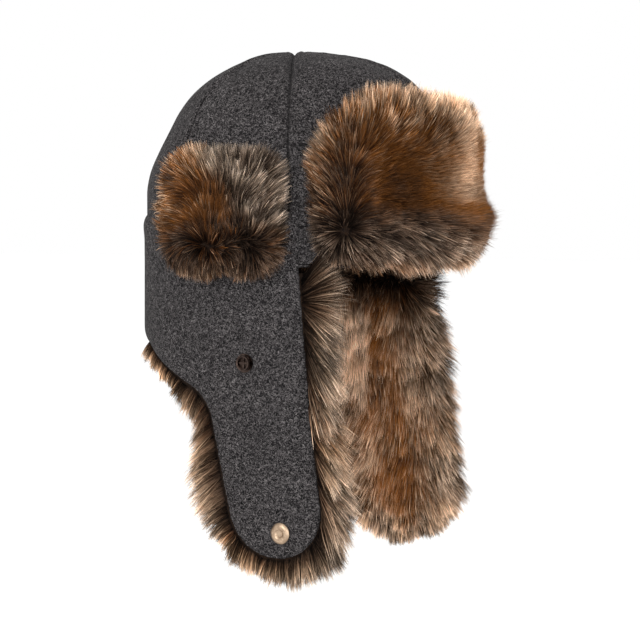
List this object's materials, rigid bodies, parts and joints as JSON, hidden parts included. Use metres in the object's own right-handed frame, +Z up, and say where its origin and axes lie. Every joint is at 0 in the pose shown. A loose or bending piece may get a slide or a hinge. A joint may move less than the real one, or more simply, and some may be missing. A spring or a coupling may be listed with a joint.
{
  "type": "trapper hat",
  "caption": "Winter trapper hat: gored wool crown, turned-up fur visor, fur side cuffs, fur-lined neck piece and hanging ear flaps with brass snaps.",
  "frame": {"origin": "centre of the head opening, level with the brow edge of the crown", "axes": "+Z up through the crown, the wearer faces -Y, the wearer's left is +X"},
  "size_m": [0.2154, 0.2382, 0.338],
  "materials": {
    "charcoal_wool": "matt brushed melton wool, charcoal heather with light and dark fibres",
    "brown_fur": "deep faux fur, dark brown roots, caramel to beige guard hairs",
    "quilted_lining": "black quilted satin",
    "wadding": "white polyester wadding",
    "sweatband_tape": "black ribbed tape",
    "binding_tape": "folded black hem",
    "stiffener": "stiff woven interlining",
    "aged_brass": "satin antique brass"
  },
  "bodies": {
    "root": {"crown_gore_front_left": "charcoal_wool", "crown_gore_side_left": "charcoal_wool", "crown_gore_back_left": "charcoal_wool", "crown_gore_front_right": "charcoal_wool", "crown_gore_side_right": "charcoal_wool", "crown_gore_back_right": "charcoal_wool", "lining_gore_front_left": "quilted_lining", "lining_gore_side_left": "quilted_lining", "lining_gore_back_left": "quilted_lining", "lining_gore_front_right": "quilted_lining", "lining_gore_side_right": "quilted_lining", "lining_gore_back_right": "quilted_lining", "crown_wadding": "wadding", "sweatband": "sweatband_tape", "brow_binding": "binding_tape", "neck_wool": "charcoal_wool", "neck_fur": "brown_fur", "side_cuff_backing_left": "charcoal_wool", "side_cuff_fur_left": "brown_fur", "side_cuff_backing_right": "charcoal_wool", "side_cuff_fur_right": "brown_fur"},
    "visor": {"visor_backing": "charcoal_wool", "visor_stiffener": "stiffener", "visor_fur": "brown_fur"},
    "ear_flap_left": {"ear_flap_wool_left": "charcoal_wool", "ear_flap_fur_left": "brown_fur", "tip_snap_cap_left": "aged_brass", "tip_snap_socket_left": "aged_brass", "mid_snap_stud_left": "aged_brass", "mid_snap_eyelet_left": "aged_brass"},
    "ear_flap_right": {"ear_flap_wool_right": "charcoal_wool", "ear_flap_fur_right": "brown_fur", "tip_snap_cap_right": "aged_brass", "tip_snap_socket_right": "aged_brass", "mid_snap_stud_right": "aged_brass", "mid_snap_eyelet_right": "aged_brass"}
  },
  "joints": [
    {"name": "visor_fold", "type": "hinge", "parent": "root", "child": "visor", "pos_m": [0, -0.095, 0], "axis": [1, 0, 0], "range_deg": [0, 100]},
    {"name": "ear_flap_left_swing", "type": "hinge", "parent": "root", "child": "ear_flap_left", "pos_m": [0.095, -0.053, -0.008], "axis": [0, -0.9063, 0.4226], "range_deg": [0, 130]},
    {"name": "ear_flap_right_swing", "type": "hinge", "parent": "root", "child": "ear_flap_right", "pos_m": [-0.095, -0.053, -0.008], "axis": [0, 0.9063, -0.4226], "range_deg": [0, 130]}
  ]
}
